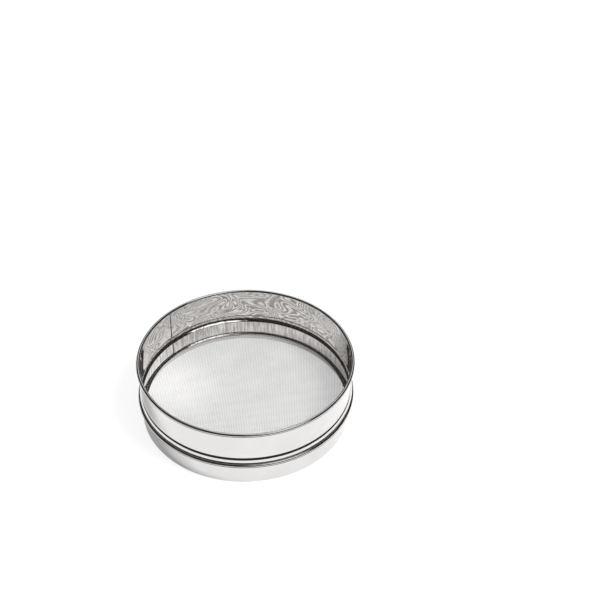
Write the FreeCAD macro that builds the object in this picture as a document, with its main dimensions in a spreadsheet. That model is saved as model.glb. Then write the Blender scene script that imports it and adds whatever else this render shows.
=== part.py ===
import FreeCAD, Part
import math
import os

import Sketcher

# Round soil sieve in polished stainless sheet, with a woven wire screen.
# Frame: +Z up, millimetres, origin at the centre of the circle that the sieve rests on.
# An upper hoop with a wired rim and a bead narrows to a neck with a turned-in foot. The wire cloth
# is stretched under the foot and turned up around the neck, and a lower skirt ring is pressed over
# neck and cloth.

# Driving dimensions: alias, value, meaning. Lengths in mm, angles in degrees.
SIZES = [
    ("wall_radius", 102.6, "outer radius of the upper wall"),
    ("total_height", 64.0, "rest plane to the top of the rim"),
    ("hoop_sheet", 0.5, "sheet thickness of the upper hoop"),
    ("rim_radius", 1.8, "outer radius of the rolled rim's section"),
    ("roll_angle", 300.0, "how far round each rolled edge is curled"),
    ("rim_wire_clearance", 0.05, "between rim wire and rolled rim"),
    ("bead_radius", 4.9, "outer radius of the bead's section"),
    ("bead_height", 27.9, "centre of the bead's section above the rest plane"),
    ("bead_inset", 3.1, "centre of the bead's section inside the wall's outer face"),
    ("bead_fillet", 0.8, "outer fillet between wall and bead"),
    ("neck_fillet", 0.5, "outer fillet between bead and neck"),
    ("neck_step", 1.1, "how far the neck lies inside the wall"),
    ("foot_bend", 1.4, "outer bend radius where the neck's foot is turned in"),
    ("foot_width", 2.6, "reach of the turned-in foot inside the neck's outer face"),
    ("seam_azimuth", 141.0, "direction of the seam's visible edge, from +X towards +Y"),
    ("lap_width", 10.0, "overlap of the rolled strips' ends, along the wall"),
    ("cloth_height", 7.0, "underside of the wire cloth above the rest plane"),
    ("wire_diameter", 0.4, "screen wire"),
    ("wire_pitch", 1.6, "screen wire, centre to centre"),
    ("wire_gap", 0.02, "between the warp layer and the weft layer"),
    ("edge_wire_inset", 2.0, "least distance of the outermost wire from the neck's outer face"),
    ("margin_height", 10.0, "how far the cloth's edge is turned up around the neck"),
    ("cloth_clearance", 0.05, "on each side of the cloth, at neck and skirt"),
    ("skirt_sheet", 0.5, "sheet thickness of the lower skirt"),
    ("seat_roll_radius", 1.9, "outer radius of the section of the skirt's rolled edge"),
    ("seat_clearance", 0.1, "between the bead and the skirt's rolled edge"),
    ("hem_height", 4.0, "height of the hem folded in at the foot of the skirt"),
    ("hem_gap", 0.3, "between the two layers of the hem"),
    ("hem_corner", 0.45, "outer corner radius under the hem"),
]

# Sizes that follow from the driving dimensions, as formulas of the sheet.
DERIVED = [
    ("rim_centre_radius", "wall_radius - hoop_sheet + rim_radius"),
    ("rim_centre_height", "total_height - rim_radius"),
    ("bead_centre_radius", "wall_radius - bead_inset"),
    ("neck_radius", "wall_radius - neck_step"),
    ("cloth_thickness", "2 * wire_diameter + wire_gap"),
    ("neck_foot", "cloth_height + cloth_thickness + cloth_clearance"),
    ("foot_radius", "neck_radius - foot_width"),
    ("margin_radius", "neck_radius + cloth_clearance + cloth_thickness"),
    ("skirt_radius", "margin_radius + cloth_clearance + skirt_sheet"),
    ("seat_centre_radius", "skirt_radius - skirt_sheet + seat_roll_radius"),
    ("seat_reach", "bead_radius + seat_roll_radius + seat_clearance"),
    ("seat_drop", "sqrt(seat_reach ^ 2 - (seat_centre_radius - bead_centre_radius) ^ 2)"),
    ("seat_centre_height", "bead_height - seat_drop"),
    ("hem_width", "2 * skirt_sheet + hem_gap"),
    ("hem_fold_radius", "hem_gap / 2"),
    ("wires_each_side", "floor((neck_radius - edge_wire_inset) / wire_pitch)"),
    ("wires_each_way", "2 * wires_each_side + 1"),
    ("wire_radius", "wire_diameter / 2"),
    ("wire_length", "2 * neck_radius"),
    ("wire_row_side", "wires_each_side * wire_pitch"),
    ("wire_row_length", "2 * wire_row_side"),
    ("trim_radius", "2 * neck_radius"),
    ("trim_depth", "4 * cloth_height"),
    ("warp_height", "cloth_height + 1.5 * wire_diameter + wire_gap"),
    ("weft_height", "cloth_height + wire_diameter / 2"),
    ("lap_depth", "2 * hoop_sheet"),
    ("lap_angle", "lap_width / wall_radius * 180 / pi"),
    ("lap_start", "seam_azimuth - lap_angle"),
]


def make_sheet(doc):
    """The spreadsheet that every sub-part reads, with the driving sizes and what follows from them."""
    sheet = doc.addObject("Spreadsheet::Sheet", "Sizes")
    rows = [(alias, str(value), note) for alias, value, note in SIZES]
    rows += [(alias, "=" + formula, "derived") for alias, formula in DERIVED]
    for row, (alias, content, note) in enumerate(rows, start=1):
        sheet.set(f"A{row}", alias)
        sheet.set(f"B{row}", content)
        sheet.setAlias(f"B{row}", alias)
        sheet.set(f"C{row}", note)
    doc.recompute()
    return sheet


def sized(formula):
    """A formula of the sheet's aliases, written for an expression of another object."""
    names = sorted([row[0] for row in SIZES + DERIVED], key=len, reverse=True)
    words = []
    for word in formula.split():
        bare = word.strip("()")
        words.append(word.replace(bare, "Sizes." + bare) if bare in names else word)
    return " ".join(words)


def value(sheet, formula):
    """The same formula's value now, for a sketch's first drawing."""
    names = {row[0]: float(getattr(sheet, row[0])) for row in SIZES + DERIVED}
    result = 0.0
    sign = 1.0
    for word in formula.split():
        if word in ("+", "-"):
            sign = 1.0 if word == "+" else -1.0
        else:
            result += sign * (names[word] if word in names else float(word))
    return result


def new_body(doc, label):
    body = doc.addObject("PartDesign::Body", label)
    body.Label = label
    return body


def origin_feature(body, role):
    """The plane or axis of the body's own origin that has this role."""
    return [feature for feature in body.Origin.OriginFeatures if feature.Role == role][0]


def new_sketch(body, name, role):
    """A sketch of this body, flat on the body's own origin plane with that role."""
    sketch = body.newObject("Sketcher::SketchObject", name)
    sketch.AttachmentSupport = [(origin_feature(body, role), "")]
    sketch.MapMode = "FlatFace"
    return sketch


class Profile:
    """A closed section drawn in a sketch from chains of tangent arcs and lines."""

    def __init__(self, sheet, sketch):
        self.sheet = sheet
        self.sketch = sketch

    def constrain(self, kind, *where, size=None):
        """Adds a constraint. A size is a formula of the sheet, and the constraint follows it."""
        if size is None:
            return self.sketch.addConstraint(Sketcher.Constraint(kind, *where))
        number = value(self.sheet, size)
        if kind == "Angle":
            number = math.radians(number)
        index = self.sketch.addConstraint(Sketcher.Constraint(kind, *where, number))
        unit = " * 1 deg" if kind == "Angle" else " * 1 mm"
        self.sketch.setExpression(f"Constraints[{index}]", f"({sized(size)}){unit}")
        return index

    def place(self, geometry, point, radius=None, height=None):
        """Fixes a point's distance from the axis and its height."""
        if radius is not None:
            self.constrain("DistanceX", -1, 1, geometry, point, size=radius)
        if height is not None:
            self.constrain("DistanceY", -1, 1, geometry, point, size=height)

    def arc(self, centre, radius, start, end, size):
        """An arc, counter-clockwise from start to end in degrees, whose radius follows size."""
        circle = Part.Circle(FreeCAD.Vector(centre[0], centre[1], 0), FreeCAD.Vector(0, 0, 1), radius)
        arc = Part.ArcOfCircle(circle, math.radians(start), math.radians(end))
        index = self.sketch.addGeometry(arc)
        self.constrain("Radius", index, size=size)
        return index

    def circle(self, centre, radius, size):
        """A full circle whose radius follows size."""
        middle = FreeCAD.Vector(centre[0], centre[1], 0)
        index = self.sketch.addGeometry(Part.Circle(middle, FreeCAD.Vector(0, 0, 1), radius))
        self.constrain("Radius", index, size=size)
        return index

    def line(self, start, end):
        ends = [FreeCAD.Vector(point[0], point[1], 0) for point in (start, end)]
        return self.sketch.addGeometry(Part.LineSegment(*ends))

    def join(self, kind, first, first_end, second, second_start):
        self.constrain(kind, first, first_end, second, second_start)


START, END, CENTRE = 1, 2, 3


def tangent_centre(wall, radius, centre, reach, above):
    """Centre of a fillet outside a wall, at a given reach from a round section's centre."""
    across = wall + radius - centre[0]
    rise = math.sqrt(reach**2 - across**2)
    return (wall + radius, centre[1] + (rise if above else -rise))


def direction(start, end):
    return math.degrees(math.atan2(end[1] - start[1], end[0] - start[0]))


def hoop_face(profile, depth, rolled):
    """One face of the hoop's sheet, at a depth below its outer face, from the rim to the foot.

    depth is a name of the sheet or "0". With rolled false the chain starts on the plain wall.
    Returns the chain's first and last element, free at their START and END.
    """
    now = lambda formula: value(profile.sheet, formula)
    inwards = now(depth)
    wall = now("wall_radius") - inwards
    neck = now("neck_radius") - inwards
    rim = (now("rim_centre_radius"), now("rim_centre_height"))
    bead = (now("bead_centre_radius"), now("bead_height"))
    bend = (now("neck_radius") - now("foot_bend"), now("neck_foot") + now("foot_bend"))

    bead_size = now("bead_radius") - inwards
    upper_size = now("bead_fillet") + inwards
    lower_size = now("neck_fillet") + inwards
    bend_size = now("foot_bend") - inwards
    upper = tangent_centre(wall, upper_size, bead, bead_size + upper_size, above=True)
    lower = tangent_centre(neck, lower_size, bead, bead_size + lower_size, above=False)
    up, down = direction(bead, upper), direction(bead, lower)

    wall_line = profile.line((wall, rim[1]), (wall, upper[1]))
    upper_arc = profile.arc(upper, upper_size, 180, 180 + up, f"bead_fillet + {depth}")
    bead_arc = profile.arc(bead, bead_size, down, up, f"bead_radius - {depth}")
    lower_arc = profile.arc(lower, lower_size, 180 + down, 180, f"neck_fillet + {depth}")
    neck_line = profile.line((neck, lower[1]), (neck, bend[1]))
    bend_arc = profile.arc(bend, bend_size, 270, 360, f"foot_bend - {depth}")
    foot_line = profile.line((bend[0], bend[1] - bend_size), (now("foot_radius"), bend[1] - bend_size))

    profile.join("Tangent", wall_line, END, upper_arc, START)
    profile.join("Tangent", upper_arc, END, bead_arc, END)
    profile.join("Tangent", bead_arc, START, lower_arc, START)
    profile.join("Tangent", lower_arc, END, neck_line, START)
    profile.join("Tangent", neck_line, END, bend_arc, END)
    profile.join("Tangent", bend_arc, START, foot_line, START)
    profile.constrain("Vertical", wall_line)
    profile.constrain("Vertical", neck_line)
    profile.constrain("Horizontal", foot_line)
    profile.place(bead_arc, CENTRE, radius="bead_centre_radius", height="bead_height")
    profile.place(bend_arc, CENTRE, radius="neck_radius - foot_bend", height="neck_foot + foot_bend")
    if not rolled:
        profile.place(wall_line, START, radius=f"wall_radius - {depth}")
        return wall_line, foot_line

    rim_size = now("rim_radius") - now("hoop_sheet") + inwards
    start = 180 - now("roll_angle")
    roll = profile.arc(rim, rim_size, start, 180, f"rim_radius - hoop_sheet + {depth}")
    profile.join("Tangent", roll, END, wall_line, START)
    profile.place(roll, CENTRE, radius="rim_centre_radius", height="rim_centre_height")
    return roll, foot_line


def close_roll(profile, outer, inner):
    """The cut edge across a rolled strip's free end, square to its roll."""
    ends = [profile.sketch.getPoint(index, START) for index in (outer, inner)]
    cap = profile.line((ends[0].x, ends[0].y), (ends[1].x, ends[1].y))
    profile.join("Coincident", cap, START, outer, START)
    profile.join("Coincident", cap, END, inner, START)
    profile.constrain("PointOnObject", outer, CENTRE, cap)
    profile.constrain("Angle", cap, size="180 - roll_angle")


def close_straight(profile, outer, outer_point, inner, inner_point, radius=None, height=None):
    """A cut edge from the sheet's outer face to its inner face: upright at a radius, or level at a
    height."""
    ends = [profile.sketch.getPoint(outer, outer_point), profile.sketch.getPoint(inner, inner_point)]
    cap = profile.line((ends[0].x, ends[0].y), (ends[1].x, ends[1].y))
    profile.join("Coincident", cap, START, outer, outer_point)
    profile.join("Coincident", cap, END, inner, inner_point)
    profile.constrain("Vertical" if radius else "Horizontal", cap)
    profile.place(cap, START, radius=radius, height=height)


def revolve(body, sketch, name, angle=None):
    """Turns a section about the vertical axis, all the way or through an angle of the sheet."""
    turned = body.newObject("PartDesign::Revolution", name)
    turned.Profile = sketch
    turned.ReferenceAxis = (sketch, ["V_Axis"])
    turned.Angle = 360
    if angle:
        turned.setExpression("Angle", sized(angle))
    return turned


def spin(sketch, azimuth):
    """Turns a section's plane about the vertical axis to an azimuth of the sheet."""
    sketch.setExpression(".AttachmentOffset.Rotation.Axis.x", "0")
    sketch.setExpression(".AttachmentOffset.Rotation.Axis.y", "1")
    sketch.setExpression(".AttachmentOffset.Rotation.Axis.z", "0")
    sketch.setExpression(".AttachmentOffset.Rotation.Angle", sized(azimuth))


def make_upper_hoop(doc, sheet):
    """The rolled strip with its wired rim, bead and neck, lapped at the seam."""
    body = new_body(doc, "upper_hoop")
    sketch = new_sketch(body, "HoopSection", "XZ_Plane")
    profile = Profile(sheet, sketch)
    outer, outer_foot = hoop_face(profile, "0", rolled=True)
    inner, inner_foot = hoop_face(profile, "hoop_sheet", rolled=True)
    close_roll(profile, outer, inner)
    close_straight(profile, outer_foot, END, inner_foot, END, radius="foot_radius")
    revolve(body, sketch, "HoopRing")

    lap_sketch = new_sketch(body, "LapSection", "XZ_Plane")
    lap = Profile(sheet, lap_sketch)
    back, back_foot = hoop_face(lap, "hoop_sheet", rolled=False)
    front, front_foot = hoop_face(lap, "lap_depth", rolled=False)
    close_straight(lap, back, START, front, START, height="rim_centre_height")
    close_straight(lap, back_foot, END, front_foot, END, radius="foot_radius")
    spin(lap_sketch, "lap_start")
    revolve(body, lap_sketch, "HoopLap", "lap_angle")
    return body


def make_rim_wire(doc, sheet):
    """The ring of wire inside the rolled rim."""
    wire = doc.addObject("Part::Torus", "rim_wire")
    wire.Label = "rim_wire"
    wire.setExpression("Radius1", sized("rim_centre_radius"))
    wire.setExpression("Radius2", sized("rim_radius - hoop_sheet - rim_wire_clearance"))
    wire.setExpression("Placement.Base.z", sized("rim_centre_height"))
    return wire


def make_lower_skirt(doc, sheet):
    """The ring pressed over neck and cloth, rolled out under the bead and hemmed at the foot."""
    now = lambda formula: value(sheet, formula)
    body = new_body(doc, "lower_skirt")
    sketch = new_sketch(body, "SkirtSection", "XZ_Plane")
    profile = Profile(sheet, sketch)
    seat = (now("seat_centre_radius"), now("seat_centre_height"))
    start = 180 - now("roll_angle")
    outside = now("skirt_radius")
    inside = outside - now("skirt_sheet")
    leg_back = outside - now("hem_width")
    leg_front = leg_back + now("skirt_sheet")
    corner = now("hem_corner")
    fold = now("hem_fold_radius")
    fold_height = now("skirt_sheet") + fold
    top = now("hem_height")

    outer_roll = profile.arc(seat, now("seat_roll_radius") - now("skirt_sheet"), start, 180,
                             "seat_roll_radius - skirt_sheet")
    outer_wall = profile.line((outside, seat[1]), (outside, corner))
    outer_corner = profile.arc((outside - corner, corner), corner, 270, 360, "hem_corner")
    foot = profile.line((outside - corner, 0), (leg_back + corner, 0))
    inner_corner = profile.arc((leg_back + corner, corner), corner, 180, 270, "hem_corner")
    leg = profile.line((leg_back, corner), (leg_back, top))
    leg_top = profile.line((leg_back, top), (leg_front, top))
    leg_face = profile.line((leg_front, top), (leg_front, fold_height))
    fold_arc = profile.arc((leg_front + fold, fold_height), fold, 180, 360, "hem_fold_radius")
    inner_wall = profile.line((inside, fold_height), (inside, seat[1]))
    inner_roll = profile.arc(seat, now("seat_roll_radius"), start, 180, "seat_roll_radius")

    profile.join("Tangent", outer_roll, END, outer_wall, START)
    profile.join("Tangent", outer_wall, END, outer_corner, END)
    profile.join("Tangent", outer_corner, START, foot, START)
    profile.join("Tangent", foot, END, inner_corner, END)
    profile.join("Tangent", inner_corner, START, leg, START)
    profile.join("Coincident", leg, END, leg_top, START)
    profile.join("Coincident", leg_top, END, leg_face, START)
    profile.join("Tangent", leg_face, END, fold_arc, START)
    profile.join("Tangent", fold_arc, END, inner_wall, START)
    profile.join("Tangent", inner_wall, END, inner_roll, END)
    for upright in (outer_wall, inner_wall, leg, leg_face):
        profile.constrain("Vertical", upright)
    for level in (foot, leg_top):
        profile.constrain("Horizontal", level)
    profile.place(outer_roll, CENTRE, radius="seat_centre_radius", height="seat_centre_height")
    profile.join("Coincident", inner_roll, CENTRE, outer_roll, CENTRE)
    profile.constrain("PointOnObject", foot, START, -1)
    profile.place(leg, END, radius="skirt_radius - hem_width", height="hem_height")
    profile.place(fold_arc, CENTRE, height="skirt_sheet + hem_fold_radius")
    close_roll(profile, outer_roll, inner_roll)
    revolve(body, sketch, "SkirtRing")
    return body


def make_wires(doc, sheet, label, along, height):
    """Parallel straight wires of one layer of the cloth, along X or Y, trimmed to the neck's outer
    circle."""
    now = lambda formula: value(sheet, formula)
    end_role = {"X": "YZ_Plane", "Y": "XZ_Plane"}[along]
    row_role = {"X": "Y_Axis", "Y": "X_Axis"}[along]
    body = new_body(doc, label)
    body.AllowCompound = True

    section = new_sketch(body, "WireSection", end_role)
    wire = Profile(sheet, section)
    centre = (now("wire_row_side"), now(height))
    rod_edge = wire.circle(centre, now("wire_radius"), "wire_radius")
    wire.place(rod_edge, CENTRE, radius="wire_row_side", height=height)
    rod = body.newObject("PartDesign::Pad", "FirstWire")
    rod.Profile = section
    rod.Midplane = True
    rod.setExpression("Length", sized("wire_length"))

    row = body.newObject("PartDesign::LinearPattern", "WireRow")
    row.Originals = [rod]
    row.Direction = (origin_feature(body, row_role), [""])
    row.Reversed = True
    row.setExpression("Length", sized("wire_row_length"))
    row.setExpression("Occurrences", sized("wires_each_way"))
    body.Tip = row

    ring = new_sketch(body, "TrimRing", "XY_Plane")
    band = Profile(sheet, ring)
    for edge in ("neck_radius", "trim_radius"):
        circle = band.circle((0, 0), now(edge), edge)
        band.join("Coincident", circle, CENTRE, -1, 1)
    trim = body.newObject("PartDesign::Pocket", "TrimToNeck")
    trim.Profile = ring
    trim.Midplane = True
    trim.setExpression("Length", sized("trim_depth"))
    body.Tip = trim
    return body


def make_edge_margin(doc, sheet):
    """The cloth's edge, turned up all round and pinched between neck and skirt."""
    now = lambda formula: value(sheet, formula)
    body = new_body(doc, "screen_edge_margin")
    sketch = new_sketch(body, "MarginSection", "XZ_Plane")
    profile = Profile(sheet, sketch)
    inside = now("neck_radius + cloth_clearance")
    outside = now("margin_radius")
    bottom = now("cloth_height")
    top = now("cloth_height + margin_height")
    bend = now("cloth_thickness")

    foot_arc = profile.arc((inside, bottom + bend), bend, 270, 360, "cloth_thickness")
    back = profile.line((outside, bottom + bend), (outside, top))
    edge = profile.line((outside, top), (inside, top))
    face = profile.line((inside, top), (inside, bottom))
    profile.join("Tangent", foot_arc, END, back, START)
    profile.join("Coincident", back, END, edge, START)
    profile.join("Coincident", edge, END, face, START)
    profile.join("Coincident", face, END, foot_arc, START)
    profile.constrain("Vertical", back)
    profile.constrain("Vertical", face)
    profile.constrain("Horizontal", edge)
    profile.constrain("PointOnObject", foot_arc, CENTRE, face)
    profile.place(foot_arc, START, radius="neck_radius + cloth_clearance", height="cloth_height")
    profile.place(edge, START, height="cloth_height + margin_height")
    revolve(body, sketch, "MarginRing")
    return body


def check(doc, pieces):
    """Stops if any object failed, a sketch is loose, or a sub-part has no sound solid."""
    for item in doc.Objects:
        if {"Invalid", "Error"} & set(item.State):
            raise RuntimeError(f"{item.Name} failed: {item.State}")
        if item.TypeId == "Sketcher::SketchObject" and (item.solve() or not item.FullyConstrained):
            raise RuntimeError(f"{item.Name} does not solve to one section")
    for piece in pieces:
        if piece.Shape.isNull() or not piece.Shape.isValid() or not piece.Shape.Solids:
            raise RuntimeError(f"{piece.Label} has no sound shape")


def main():
    doc = FreeCAD.newDocument("soil_sieve")
    sheet = make_sheet(doc)
    pieces = [
        make_upper_hoop(doc, sheet),
        make_rim_wire(doc, sheet),
        make_lower_skirt(doc, sheet),
        make_wires(doc, sheet, "screen_warp_wires", "Y", "warp_height"),
        make_wires(doc, sheet, "screen_weft_wires", "X", "weft_height"),
        make_edge_margin(doc, sheet),
    ]
    doc.recompute()
    check(doc, pieces)
    os.makedirs("parts", exist_ok=True)
    for piece in pieces:
        piece.Shape.exportStep(f"parts/{piece.Label}.step")
        box = piece.Shape.optimalBoundingBox()
        print(f"{piece.Label}: {len(piece.Shape.Solids)} solids, {piece.Shape.Volume:.1f} mm3, "
              f"radius {box.XMax:.2f}, z {box.ZMin:.2f} to {box.ZMax:.2f}")


main()
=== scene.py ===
import math

import bpy
import numpy as np
from mathutils import Matrix, Vector


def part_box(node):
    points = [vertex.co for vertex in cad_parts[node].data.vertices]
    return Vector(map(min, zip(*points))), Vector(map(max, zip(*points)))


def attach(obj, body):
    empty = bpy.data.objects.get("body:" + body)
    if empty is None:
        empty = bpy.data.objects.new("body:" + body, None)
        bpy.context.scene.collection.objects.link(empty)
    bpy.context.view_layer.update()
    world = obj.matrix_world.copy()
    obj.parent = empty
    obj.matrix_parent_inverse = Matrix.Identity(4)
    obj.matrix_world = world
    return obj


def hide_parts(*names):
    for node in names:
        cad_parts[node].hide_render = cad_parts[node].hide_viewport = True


# A round soil sieve in polished stainless sheet on a pale floor.
# Metres, in the frame of the CAD model: +Z up, the origin under the middle of the sieve.

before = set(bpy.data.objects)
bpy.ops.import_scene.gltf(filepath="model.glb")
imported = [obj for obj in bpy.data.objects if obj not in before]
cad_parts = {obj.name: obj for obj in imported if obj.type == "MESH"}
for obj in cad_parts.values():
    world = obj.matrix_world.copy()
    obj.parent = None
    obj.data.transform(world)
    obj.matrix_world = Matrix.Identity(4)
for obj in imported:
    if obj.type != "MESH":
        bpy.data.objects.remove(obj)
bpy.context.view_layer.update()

MM = 0.001
MICRON = 0.001 * MM
TAU = 2 * math.pi

# Measures of the sheet work that the CAD boxes don't give.
HOOP_SHEET = 0.5 * MM
RIM_RADIUS = 1.8 * MM
ROLL_TURN = math.radians(300)
BEAD_RADIUS = 4.9 * MM
BEAD_HEIGHT = 27.9 * MM
BEAD_INSET = 3.1 * MM
BEAD_FILLET = 0.8 * MM
NECK_FILLET = 0.5 * MM
NECK_STEP = 1.1 * MM
FOOT_BEND = 1.4 * MM
FOOT_WIDTH = 2.6 * MM
SEAM_AZIMUTH = math.radians(141)
SEAM_EDGE = math.radians(0.01)  # half of the turn that the sheet's cut edge takes up
LAP_WIDTH = 10 * MM
JOGGLE_WIDTH = 8 * MM  # round the wall, where the lapped end bends inwards
LAP_RUNOUT = 1.2 * MM  # under the rolled rim, where the lap fades out
GROOVE_DEPTH = 0.22 * MM  # the seam's line on the outside
GROOVE_SPREAD = math.radians(0.08)
CREVICE_WIDTH = 0.6 * MM  # the painted shade beside the cut edge on the inside
SKIRT_SHEET = 0.5 * MM
SEAT_ROLL_RADIUS = 1.9 * MM
HEM_HEIGHT = 4.0 * MM
HEM_GAP = 0.3 * MM
HEM_CORNER = 0.45 * MM
WIRE_RADIUS = 0.2 * MM
WIRE_PITCH = 1.6 * MM
CLOTH_CLEARANCE = 0.05 * MM
MARGIN_HEIGHT = 10 * MM
CRIMP = 1.02 * WIRE_RADIUS  # so that crossing wires just clear each other
WAVINESS = 0.05 * MM

# How finely the shapes are divided.
ROLL_STEPS = 24
TURNS = 720
NEAR_SEAM = np.radians([-0.3, -0.12, -0.05, -0.01, 0.01, 0.05, 0.12, 0.3])
SHARP_FROM = math.radians(50)
WIRE_SIDES = 6
WIRE_STEP = WIRE_PITCH / 4
WIRE_GROUPS = 5

# The sheets' materials, in the order of their slots: polished steel, painted shade, and the painted
# reflections of the screen inside the hoop and in its neck.
POLISHED, PAINTED_SHADE, INSIDE, NECK = range(4)
PAINTED_SHADE_BELOW = math.radians(10)  # painted shade under a roll reaches up to this angle above level, on the roll's outer side

# What the CAD boxes give.
hoop_low, hoop_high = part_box("upper_hoop")
skirt_low, skirt_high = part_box("lower_skirt")
cloth_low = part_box("screen_weft_wires")[0]
cloth_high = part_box("screen_warp_wires")[1]
WALL_RADIUS = hoop_high[0] + HOOP_SHEET - 2 * RIM_RADIUS
RIM_CENTRE = (WALL_RADIUS - HOOP_SHEET + RIM_RADIUS, hoop_high[2] - RIM_RADIUS)
BEAD_CENTRE = (WALL_RADIUS - BEAD_INSET, BEAD_HEIGHT)
NECK_RADIUS = WALL_RADIUS - NECK_STEP
NECK_FOOT = hoop_low[2]
FOOT_RADIUS = NECK_RADIUS - FOOT_WIDTH
LAP_START = SEAM_AZIMUTH - LAP_WIDTH / WALL_RADIUS
SEAT_CENTRE = (skirt_high[0] - SEAT_ROLL_RADIUS, skirt_high[2] - SEAT_ROLL_RADIUS)
SKIRT_RADIUS = SEAT_CENTRE[0] - SEAT_ROLL_RADIUS + SKIRT_SHEET
CLOTH_MIDDLE = (cloth_low[2] + cloth_high[2]) / 2
CLOTH_HALF = (cloth_high[2] - cloth_low[2]) / 2
CLOTH_BEND = NECK_RADIUS + CLOTH_CLEARANCE
CLOTH_RADIUS = CLOTH_BEND + CLOTH_HALF * math.pi / 2 + MARGIN_HEIGHT - 2 * CLOTH_HALF


# Shapes ---------------------------------------------------------------------------------------


def arc(centre, radius, start, end, steps):
    """Points of an arc from start to end, in radians."""
    turn = np.linspace(start, end, steps + 1)
    return np.stack([centre[0] + radius * np.cos(turn), centre[1] + radius * np.sin(turn)], axis=1)


def line(start, end, steps):
    """Points of a straight run from start to end."""
    share = np.linspace(0, 1, steps + 1)[:, None]
    return np.array(start) * (1 - share) + np.array(end) * share


def chain(*runs):
    """One outline from runs that each start where the last one ends."""
    return np.concatenate([runs[0]] + [run[1:] for run in runs[1:]])


def direction(start, end):
    """The angle at which end is seen from start."""
    return math.atan2(end[1] - start[1], end[0] - start[0])


def hoop_face(depth):
    """One face of the hoop's sheet, at a depth below its outer face, from the rim's cut edge down
    to the cut edge of the foot."""
    wall = WALL_RADIUS - depth
    neck = NECK_RADIUS - depth
    bead = BEAD_RADIUS - depth
    upper_size = BEAD_FILLET + depth
    lower_size = NECK_FILLET + depth
    upper_across = wall + upper_size - BEAD_CENTRE[0]
    lower_across = neck + lower_size - BEAD_CENTRE[0]
    upper_rise = math.sqrt((bead + upper_size) ** 2 - upper_across**2)
    lower_drop = math.sqrt((bead + lower_size) ** 2 - lower_across**2)
    upper = (wall + upper_size, BEAD_HEIGHT + upper_rise)
    lower = (neck + lower_size, BEAD_HEIGHT - lower_drop)
    up = direction(BEAD_CENTRE, upper)
    down = direction(BEAD_CENTRE, lower)
    bend = (NECK_RADIUS - FOOT_BEND, NECK_FOOT + FOOT_BEND)
    underside = NECK_FOOT + depth
    return chain(
        arc(RIM_CENTRE, RIM_RADIUS - HOOP_SHEET + depth, math.pi - ROLL_TURN, math.pi, ROLL_STEPS),
        line((wall, RIM_CENTRE[1]), (wall, upper[1]), 5),
        arc(upper, upper_size, math.pi, math.pi + up, 5),
        arc(BEAD_CENTRE, bead, up, down, 16),
        arc(lower, lower_size, math.pi + down, math.pi, 5),
        line((neck, lower[1]), (neck, bend[1]), 3),
        arc(bend, FOOT_BEND - depth, 0, -math.pi / 2, 6),
        line((bend[0], underside), (FOOT_RADIUS, underside), 2),
    )


def skirt_outline():
    """The skirt's closed section: rolled edge, wall, and the hem folded up inside."""
    inside = SKIRT_RADIUS - SKIRT_SHEET
    leg_back = SKIRT_RADIUS - 2 * SKIRT_SHEET - HEM_GAP
    leg_front = leg_back + SKIRT_SHEET
    fold = HEM_GAP / 2
    fold_height = SKIRT_SHEET + fold
    cut = math.pi - ROLL_TURN
    right_foot = (SKIRT_RADIUS - HEM_CORNER, HEM_CORNER)
    left_foot = (leg_back + HEM_CORNER, HEM_CORNER)
    outer = chain(
        arc(SEAT_CENTRE, SEAT_ROLL_RADIUS - SKIRT_SHEET, cut, math.pi, 14),
        line((SKIRT_RADIUS, SEAT_CENTRE[1]), (SKIRT_RADIUS, HEM_CORNER), 5),
        arc(right_foot, HEM_CORNER, 0, -math.pi / 2, 5),
        line((right_foot[0], 0), (left_foot[0], 0), 1),
        arc(left_foot, HEM_CORNER, -math.pi / 2, -math.pi, 5),
        line((leg_back, HEM_CORNER), (leg_back, HEM_HEIGHT), 2),
        line((leg_back, HEM_HEIGHT), (leg_front, HEM_HEIGHT), 1),
        line((leg_front, HEM_HEIGHT), (leg_front, fold_height), 2),
        arc((leg_front + fold, fold_height), fold, math.pi, TAU, 6),
        line((inside, fold_height), (inside, SEAT_CENTRE[1]), 5),
    )
    roll = arc(SEAT_CENTRE, SEAT_ROLL_RADIUS, math.pi, cut, 26)
    return np.concatenate([outer, roll[1:]])


def waviness(azimuth, height):
    """How far hand-rolled sheet stands off its true circle."""
    return WAVINESS * (
        np.sin(3 * azimuth + 0.7)
        + 0.6 * np.sin(7 * azimuth + 2.1 + 20 * height)
        + 0.35 * np.sin(13 * azimuth + 4.0 - 45 * height)
    )


def azimuths(seams):
    """Even steps round the circle, with close ones on each side of every seam."""
    even = np.arange(TURNS) * TAU / TURNS
    extra = [(seam + NEAR_SEAM) % TAU for seam in seams]
    return np.unique(np.round(np.concatenate([even] + extra), 7))


def mesh_object(name, points, faces):
    """A smooth-shaded object from numpy points and quads."""
    mesh = bpy.data.meshes.new(name)
    mesh.vertices.add(len(points))
    mesh.vertices.foreach_set("co", points.astype(np.float32).ravel())
    mesh.loops.add(faces.size)
    mesh.loops.foreach_set("vertex_index", faces.astype(np.int32).ravel())
    mesh.polygons.add(len(faces))
    mesh.polygons.foreach_set("loop_start", np.arange(len(faces), dtype=np.int32) * faces.shape[1])
    mesh.update(calc_edges=True)
    mesh.validate()
    mesh.polygons.foreach_set("use_smooth", np.ones(len(faces), dtype=bool))
    mesh.update()
    thing = bpy.data.objects.new(name, mesh)
    bpy.context.scene.collection.objects.link(thing)
    return thing


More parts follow.
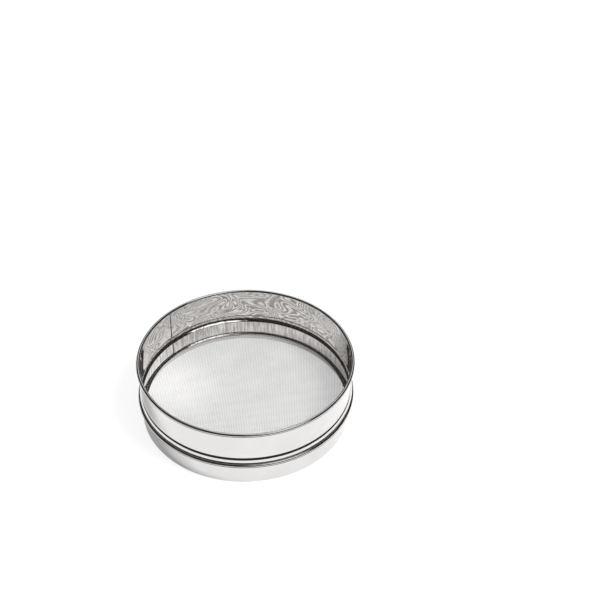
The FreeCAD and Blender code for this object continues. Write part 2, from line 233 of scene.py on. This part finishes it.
def ring_object(name, turns, sections):
    """A closed ring: one section, a row of (radius, height), for each azimuth."""
    count, size = sections.shape[:2]
    radius, height = sections[..., 0], sections[..., 1]
    radius = radius + waviness(turns[:, None], height)
    points = np.stack(
        [radius * np.cos(turns)[:, None], radius * np.sin(turns)[:, None], height], axis=-1
    )
    here = np.arange(count)[:, None] * size
    there = (np.arange(count)[:, None] + 1) % count * size
    column = np.arange(size)[None, :]
    beside = (column + 1) % size
    faces = np.stack([here + column, here + beside, there + beside, there + column], axis=-1)
    ring = mesh_object(name, points.reshape(-1, 3), faces.reshape(-1, 4))
    ring.data.set_sharp_from_angle(angle=SHARP_FROM)
    return ring


def ease(value, start, end):
    """0 before start, 1 after end, smooth between."""
    share = np.clip((value - start) / (end - start), 0, 1)
    return share * share * (3 - 2 * share)


def shaded_under_roll(section, centre, radius):
    """Which faces round a section lie under a roll, where the sheet is painted dark as shade."""
    middle = (section + np.roll(section, -1, axis=0)) / 2 - centre
    near = np.hypot(middle[:, 0], middle[:, 1]) < 1.01 * radius
    return near & (np.arctan2(middle[:, 1], middle[:, 0]) < PAINTED_SHADE_BELOW)


def paint(ring, slots):
    """Sets which material each face of a ring has: a row for each azimuth."""
    ring.data.polygons.foreach_set("material_index", slots.astype(np.int32).ravel())


def build_hoop():
    """The rolled strip: wired rim, wall, bead, neck and foot, with its ends lapped at the seam."""
    turns = azimuths([SEAM_AZIMUTH, LAP_START])
    outer = hoop_face(0)
    inner = hoop_face(HOOP_SHEET)
    lapped = hoop_face(2 * HOOP_SHEET)

    edge = ease(turns, SEAM_AZIMUTH - SEAM_EDGE, SEAM_AZIMUTH + SEAM_EDGE)
    overlap = ease(turns, LAP_START - JOGGLE_WIDTH / WALL_RADIUS, LAP_START) * (1 - edge)
    below_rim = 1 - ease(inner[:, 1], RIM_CENTRE[1] - LAP_RUNOUT, RIM_CENTRE[1])
    below_rim[: ROLL_STEPS + 1] = 0
    share = overlap[:, None, None] * below_rim[None, :, None]
    inside = inner[None] * (1 - share) + lapped[None] * share

    groove = GROOVE_DEPTH * np.exp(-(((turns - LAP_START) / GROOVE_SPREAD) ** 2))
    outside = np.repeat(outer[None], len(turns), axis=0)
    outside[:, ROLL_STEPS + 1 :, 0] -= groove[:, None]
    sections = np.concatenate([outside, inside[:, ::-1]], axis=1)
    hoop = ring_object("hoop_sheet", turns, sections)

    section = np.concatenate([outer, inner[::-1]])
    column = np.arange(len(section))
    inner_face = (column >= len(outer)) & (column < len(section) - 1 - ROLL_STEPS)
    below_bead = section[:, 1] < BEAD_HEIGHT - BEAD_RADIUS + HOOP_SHEET
    # The faces inside the hoop, above and below the bead, carry painted reflections of the screen.
    slots = np.where(inner_face, np.where(below_bead, NECK, INSIDE), POLISHED)
    # Painted shade under the rolled rim.
    slots[shaded_under_roll(section, RIM_CENTRE, RIM_RADIUS)] = PAINTED_SHADE
    past_seam = turns - SEAM_AZIMUTH  # the cut edge ends one SEAM_EDGE past its azimuth
    # Painted shade in the crevice beside the seam's cut edge, on the inside.
    seam_shade = (past_seam > 0.9 * SEAM_EDGE) & (past_seam < CREVICE_WIDTH / WALL_RADIUS)
    paint(hoop, np.where(seam_shade[:, None] & inner_face, PAINTED_SHADE, slots))
    return hoop


def build_skirt():
    """The lower ring, with painted shade under its rolled top edge."""
    turns = azimuths([])
    section = skirt_outline()
    skirt = ring_object("skirt_sheet", turns, np.repeat(section[None], len(turns), axis=0))
    # Painted shade under the rolled top edge.
    slots = np.where(shaded_under_roll(section, SEAT_CENTRE, SEAT_ROLL_RADIUS), PAINTED_SHADE, POLISHED)
    paint(skirt, np.repeat(slots[None], len(turns), axis=0))
    return skirt


def along_cloth(flat_radius, lift):
    """Where a point of the flat cloth goes: (radius, height), once its edge is turned up.

    lift is the height above the cloth's middle, measured square to it.
    """
    past = np.maximum(flat_radius - CLOTH_BEND, 0)
    turn = np.minimum(past / CLOTH_HALF, math.pi / 2)
    rise = np.maximum(past - CLOTH_HALF * math.pi / 2, 0)
    radius = np.minimum(flat_radius, CLOTH_BEND) + CLOTH_HALF * np.sin(turn)
    height = CLOTH_MIDDLE + CLOTH_HALF * (1 - np.cos(turn)) + rise
    return radius - lift * np.sin(turn), height + lift * np.cos(turn)


def wire_tubes(lines):
    """Points and faces of open-ended round tubes, each along a line of points and its normals."""
    points, faces, first = [], [], 0
    around = np.arange(WIRE_SIDES) * TAU / WIRE_SIDES
    for centre, normal in lines:
        tangent = np.gradient(centre, axis=0)
        tangent /= np.linalg.norm(tangent, axis=1)[:, None]
        side = np.cross(tangent, normal)
        side /= np.linalg.norm(side, axis=1)[:, None]
        up = np.cross(side, tangent)
        ring = side[:, None] * np.cos(around)[:, None] + up[:, None] * np.sin(around)[:, None]
        points.append((centre[:, None] + WIRE_RADIUS * ring).reshape(-1, 3))
        here = first + np.arange(len(centre) - 1)[:, None] * WIRE_SIDES
        there = here + WIRE_SIDES
        column = np.arange(WIRE_SIDES)
        beside = (column + 1) % WIRE_SIDES
        quads = np.stack([here + column, here + beside, there + beside, there + column], axis=-1)
        faces.append(quads.reshape(-1, 4))
        first += len(centre) * WIRE_SIDES
    return np.concatenate(points), np.concatenate(faces)


def build_wires(name, along, offsets):
    """Crimped wires of the plain weave that run along X or Y, turned up at both ends."""
    sign = 1 if along == "Y" else -1
    lines = []
    for index in offsets:
        offset = index * WIRE_PITCH
        reach = math.sqrt(CLOTH_RADIUS**2 - offset**2)
        steps = int(reach / WIRE_STEP)
        run = np.arange(-steps, steps + 1) * WIRE_STEP
        lift = sign * CRIMP * np.cos(math.pi * run / WIRE_PITCH) * (-1) ** index
        across = np.full_like(run, offset)
        flat = np.stack([across, run] if along == "Y" else [run, across], axis=1)
        distance = np.hypot(flat[:, 0], flat[:, 1])
        outward = flat / np.maximum(distance, 1e-9)[:, None]
        radius, height = along_cloth(distance, lift)
        base_radius, base_height = along_cloth(distance, 0.0)
        tip_radius, tip_height = along_cloth(distance, WIRE_RADIUS)
        centre = np.column_stack([outward * radius[:, None], height])
        normal = np.column_stack(
            [outward * (tip_radius - base_radius)[:, None], tip_height - base_height]
        )
        lines.append((centre, normal / WIRE_RADIUS))
    points, faces = wire_tubes(lines)
    return mesh_object(name, points, faces)


# Materials ------------------------------------------------------------------------------------

WHITE = (1, 1, 1, 1)


class NodeTree:
    """A short way to add nodes to a material or a world."""

    def __init__(self, owner):
        owner.use_nodes = True
        self.tree = owner.node_tree

    def node(self, kind, inputs=None, **settings):
        """A node with its settings made and its inputs linked or set."""
        made = self.tree.nodes.new(kind)
        for name, setting in settings.items():
            setattr(made, name, setting)
        for socket, source in (inputs or {}).items():
            if isinstance(source, bpy.types.NodeSocket):
                self.tree.links.new(source, made.inputs[socket])
            else:
                made.inputs[socket].default_value = source
        return made


class Shader(NodeTree):
    """A Principled material and short ways to add the nodes that drive it."""

    def __init__(self, name, metallic):
        self.material = bpy.data.materials.new(name)
        super().__init__(self.material)
        self.bsdf = self.tree.nodes["Principled BSDF"]
        self.bsdf.inputs["Metallic"].default_value = metallic
        self.place = self.node("ShaderNodeTexCoord").outputs["Object"]

    def noise(self, scale, stretch=(1, 1, 1), detail=3, distortion=0.0):
        """Noise in the object's own space. scale is in features per metre, before the stretch."""
        spread = self.node("ShaderNodeMapping", {"Vector": self.place, "Scale": stretch})
        inputs = {
            "Vector": spread.outputs["Vector"],
            "Scale": scale,
            "Detail": detail,
            "Distortion": distortion,
        }
        return self.node("ShaderNodeTexNoise", inputs).outputs["Fac"]

    def spread(self, source, low, high, start=0.3, end=0.7):
        """source, which lies between start and end, made to run from low to high."""
        inputs = {"Value": source, "From Min": start, "From Max": end, "To Min": low, "To Max": high}
        return self.node("ShaderNodeMapRange", inputs, clamp=True).outputs["Result"]

    def maths(self, operation, first, second=0.0):
        """The result of a sum. An operation on one number leaves out the second."""
        return self.node("ShaderNodeMath", {0: first, 1: second}, operation=operation).outputs[0]

    def colours(self, source, stops):
        """A colour that follows source between two stops, each a position and a colour."""
        ramp = self.node("ShaderNodeValToRGB", {"Fac": source})
        for element, (position, colour) in zip(ramp.color_ramp.elements, stops):
            element.position = position
            element.color = (*colour, 1)
        return ramp.outputs["Color"]

    def drive(self, socket, source):
        """Links source to one of the material's own inputs."""
        self.tree.links.new(source, self.bsdf.inputs[socket])

    def bump(self, source, distance, below=None):
        """A bumped normal, on top of another one if there is one below."""
        inputs = {"Height": source, "Distance": distance}
        if below is not None:
            inputs["Normal"] = below
        return self.node("ShaderNodeBump", inputs).outputs["Normal"]


def polished_sheet(name, tone):
    """Mirror-polished stainless sheet: fine hairlines along the strip, faint haze and rub marks."""
    shader = Shader(name, metallic=1.0)
    hairlines = shader.noise(60, (1, 1, 90), detail=4)
    haze = shader.noise(28, detail=4, distortion=0.4)
    marks = shader.noise(900, (1, 1, 0.35), detail=2)
    fine = shader.spread(hairlines, 0.0, 0.02)
    hazy = shader.spread(haze, 0.035, 0.075)
    shader.drive("Roughness", shader.maths("ADD", fine, hazy))
    warm = tuple(part * 0.94 for part in tone)
    shader.drive("Base Color", shader.colours(haze, [(0.35, warm), (0.65, tone)]))
    brushed = shader.bump(hairlines, 0.4 * MICRON)
    shader.drive("Normal", shader.bump(marks, 0.6 * MICRON, below=brushed))
    return shader.material


def painted_swirl_reflection_sheet(name, low_tone, high_tone):
    """The inside of the hoop: the same sheet, with a painted reflection of the screen, a swirling
    sheen, in its colour.
    """
    shader = Shader(name, metallic=1.0)
    drift = shader.noise(24, (1, 1, 2), detail=1.5, distortion=0.8)
    rings = shader.maths("SINE", shader.maths("MULTIPLY", drift, 120.0))
    strength = shader.spread(shader.noise(35, detail=1), 0.5, 1.0, 0.4, 0.6)
    wave = shader.maths("MULTIPLY", rings, strength)
    grain = shader.noise(700, detail=2)
    waves = shader.spread(wave, 0.0, 0.75, -1, 1)
    swirl = shader.maths("ADD", waves, shader.spread(grain, 0.0, 0.25))
    shader.drive("Base Color", shader.colours(swirl, [(0.15, low_tone), (0.85, high_tone)]))
    shader.drive("Roughness", shader.spread(drift, 0.05, 0.09))
    shader.drive("Normal", shader.bump(rings, 1.0 * MICRON))
    return shader.material


def painted_streak_reflection_sheet(name, low_tone, high_tone):
    """The inside of the neck: upright streaks in its colour, a painted reflection of the screen's
    wires.
    """
    shader = Shader(name, metallic=1.0)
    streaks = shader.noise(600, (1, 1, 0.12), detail=2)
    shader.drive("Base Color", shader.colours(streaks, [(0.35, low_tone), (0.65, high_tone)]))
    shader.drive("Roughness", shader.spread(streaks, 0.06, 0.12))
    shader.drive("Normal", shader.bump(streaks, 2.0 * MICRON))
    return shader.material


def painted_shade_sheet(name, low_tone, high_tone):
    """Painted shade: near-black, grainy steel in the seam's crevice and under the rolls."""
    shader = Shader(name, metallic=1.0)
    grain = shader.noise(1500, detail=2)
    shader.drive("Base Color", shader.colours(grain, [(0.3, low_tone), (0.7, high_tone)]))
    shader.drive("Roughness", shader.spread(grain, 0.35, 0.5))
    return shader.material


def drawn_wire(name, tone):
    """Drawn stainless wire: satin, with a fine grain and slightly duller patches."""
    shader = Shader(name, metallic=0.7)
    grain = shader.noise(2500, detail=2)
    patches = shader.noise(45, detail=3)
    shader.drive("Roughness", shader.spread(grain, 0.3, 0.42))
    dull = tuple(part * 0.88 for part in tone)
    shader.drive("Base Color", shader.colours(patches, [(0.35, dull), (0.65, tone)]))
    shader.drive("Normal", shader.bump(grain, 10.0 * MICRON))
    return shader.material


def glowing_paint(name, colour, glow, reflected, seen):
    """Paint that also glows white. The glow's share differs where it is reflected and seen."""
    material = bpy.data.materials.new(name)
    nodes = NodeTree(material)
    nodes.tree.nodes.clear()
    matte = nodes.node("ShaderNodeBsdfDiffuse", {"Color": colour})
    glowing = nodes.node("ShaderNodeEmission", {"Color": WHITE, "Strength": glow})
    looked_at = nodes.node("ShaderNodeLightPath").outputs["Is Camera Ray"]
    shares = {"Value": looked_at, "To Min": reflected, "To Max": seen}
    share = nodes.node("ShaderNodeMapRange", shares).outputs["Result"]
    both = {"Fac": share, 1: matte.outputs[0], 2: glowing.outputs[0]}
    mix = nodes.node("ShaderNodeMixShader", both)
    nodes.node("ShaderNodeOutputMaterial", {"Surface": mix.outputs[0]})
    return material


def studio_world(name, low, high):
    """Surroundings that are mirrored as a dark studio, low to high, and seen as plain white."""
    world = bpy.data.worlds.new(name)
    nodes = NodeTree(world)
    nodes.tree.nodes.clear()
    way = nodes.node("ShaderNodeTexCoord").outputs["Generated"]
    rise = nodes.node("ShaderNodeSeparateXYZ", {0: way}).outputs["Z"]
    ramp = nodes.node("ShaderNodeValToRGB", {"Fac": rise})
    for element, colour in zip(ramp.color_ramp.elements, (low, high)):
        element.color = colour
    mirrored = nodes.node("ShaderNodeBackground", {"Color": ramp.outputs["Color"]})
    seen = nodes.node("ShaderNodeBackground", {"Color": WHITE})
    looked_at = nodes.node("ShaderNodeLightPath").outputs["Is Camera Ray"]
    both = {"Fac": looked_at, 1: mirrored.outputs[0], 2: seen.outputs[0]}
    mix = nodes.node("ShaderNodeMixShader", both)
    nodes.node("ShaderNodeOutputWorld", {"Surface": mix.outputs[0]})
    return world


def dress(piece, materials, nodes):
    """Gives a piece its materials and its body, and hides the CAD nodes it stands for."""
    for material in materials:
        piece.data.materials.append(material)
    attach(piece, "root")
    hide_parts(*nodes)


# The sieve ------------------------------------------------------------------------------------

STEEL_TONE = (0.62, 0.612, 0.603)
WIRE_TONE = (0.64, 0.632, 0.625)
RIM_WIRE_TONE = (0.5, 0.49, 0.48)
# Painted shade: the near-black steel under the rolls and beside the seam's cut edge.
PAINTED_SHADE_TONES = (0.055, 0.05, 0.047), (0.13, 0.12, 0.115)
# Painted reflection of the screen, inside the hoop.
INSIDE_REFLECTION_TONES = (0.38, 0.36, 0.345), (1.0, 0.98, 0.96)
# Painted reflection of the screen's wires, in the neck.
NECK_REFLECTION_TONES = (0.58, 0.56, 0.545), (1.0, 0.98, 0.96)

hoop_steel = polished_sheet("polished_hoop", STEEL_TONE)
skirt_steel = polished_sheet("polished_skirt", STEEL_TONE)
painted_shade_steel = painted_shade_sheet("painted_shade_steel", *PAINTED_SHADE_TONES)
inside_reflection_steel = painted_swirl_reflection_sheet("inside_painted_reflection", *INSIDE_REFLECTION_TONES)
neck_reflection_steel = painted_streak_reflection_sheet("neck_painted_reflection", *NECK_REFLECTION_TONES)
wire_steel = drawn_wire("screen_wire", WIRE_TONE)
rim_steel = drawn_wire("rim_wire_steel", RIM_WIRE_TONE)

hoop_steels = [hoop_steel, painted_shade_steel, inside_reflection_steel, neck_reflection_steel]
dress(build_hoop(), hoop_steels, ["upper_hoop"])
dress(build_skirt(), [skirt_steel, painted_shade_steel], ["lower_skirt"])

# The wires are in groups, so that no one piece has too many faces.
wires_each_side = int(CLOTH_RADIUS / WIRE_PITCH)
groups = np.array_split(np.arange(-wires_each_side, wires_each_side + 1), WIRE_GROUPS)
for layer, along in (("warp", "Y"), ("weft", "X")):
    for number, indices in enumerate(groups, start=1):
        wires = build_wires(f"screen_{layer}_{number}", along, [int(index) for index in indices])
        dress(wires, [wire_steel], [f"screen_{layer}_wires", "screen_edge_margin"])

rim_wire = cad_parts["rim_wire"]
rim_wire.data.materials.clear()
rim_wire.data.materials.append(rim_steel)

# The stage ------------------------------------------------------------------------------------

FLOOR_HALF = 8.0
CORNERS = ((-1, -1), (1, -1), (1, 1), (-1, 1))
floor_points = np.array([[x * FLOOR_HALF, y * FLOOR_HALF, 0] for x, y in CORNERS])
floor = mesh_object("floor", floor_points, np.array([[0, 1, 2, 3]]))

FLOOR_COLOUR = (0.86, 0.86, 0.86, 1)
FLOOR_GLOW = 1.05
GLOW_REFLECTED = 0.35
GLOW_SEEN = 0.85
floor_paint = glowing_paint("floor_paint", FLOOR_COLOUR, FLOOR_GLOW, GLOW_REFLECTED, GLOW_SEEN)
floor.data.materials.append(floor_paint)


def place_lamp(name, data, place, target, mirrored):
    """A lamp turned from place towards target. The steel mirrors it, or is only lit by it."""
    lamp = bpy.data.objects.new(name, data)
    lamp.location = place
    lamp.rotation_euler = (Vector(target) - Vector(place)).to_track_quat("-Z", "Y").to_euler()
    lamp.visible_glossy = mirrored
    bpy.context.scene.collection.objects.link(lamp)


def soft_light(name, place, width, height, power, mirrored):
    """A soft light turned towards the sieve."""
    data = bpy.data.lights.new(name, "AREA")
    data.shape = "RECTANGLE"
    data.size = width
    data.size_y = height
    data.energy = power
    place_lamp(name, data, place, (0, 0, 0), mirrored)


def thrown_light(name, place, target, radius, power):
    """A small light on one patch, bright in the middle and fading out at its radius."""
    data = bpy.data.lights.new(name, "SPOT")
    data.energy = power
    data.spot_size = 2 * math.atan(radius / (Vector(place) - Vector(target)).length)
    data.spot_blend = 1.0
    data.shadow_soft_size = 30 * MM
    place_lamp(name, data, place, target, mirrored=True)


soft_light("key_light", (1.6, -0.8, 3.0), 1.1, 1.1, 178, mirrored=False)
soft_light("fill_light", (-0.2, -0.3, 2.6), 3.0, 3.0, 29, mirrored=False)
soft_light("front_softbox", (0.8, -0.62, 1.96), 1.3, 1.3, 7, mirrored=True)
soft_light("back_softbox", (0.07, 1.36, 1.72), 0.7, 1.7, 5, mirrored=True)

# The light that the polished wall throws back on the left of the screen. It needs a lamp of its
# own, because the key and fill lights aren't mirrored.
thrown_light("thrown_light", (0.9, -0.35, 1.5), (-0.08, 0.02, CLOTH_MIDDLE), 48 * MM, 185)

STUDIO_LOW = (0.055, 0.05, 0.048, 1)
STUDIO_HIGH = (0.034, 0.03, 0.029, 1)
bpy.context.scene.world = studio_world("studio", STUDIO_LOW, STUDIO_HIGH)

# The camera -----------------------------------------------------------------------------------

CAMERA_PLACE = (0.0514, -0.8380, 0.8168)
CAMERA_PITCH = math.radians(50.92)
CAMERA_ROLL = math.radians(1.08)
FOCAL_LENGTH = 69.84
SENSOR_WIDTH = 36
camera_data = bpy.data.cameras.new("camera")
camera_data.lens = FOCAL_LENGTH
camera_data.sensor_width = SENSOR_WIDTH
camera = bpy.data.objects.new("camera", camera_data)
camera.matrix_world = (
    Matrix.Translation(CAMERA_PLACE)
    @ Matrix.Rotation(CAMERA_PITCH, 4, "X")
    @ Matrix.Rotation(CAMERA_ROLL, 4, "Z")
)
bpy.context.scene.collection.objects.link(camera)
bpy.context.scene.camera = camera
bpy.context.scene.view_settings.view_transform = "Standard"
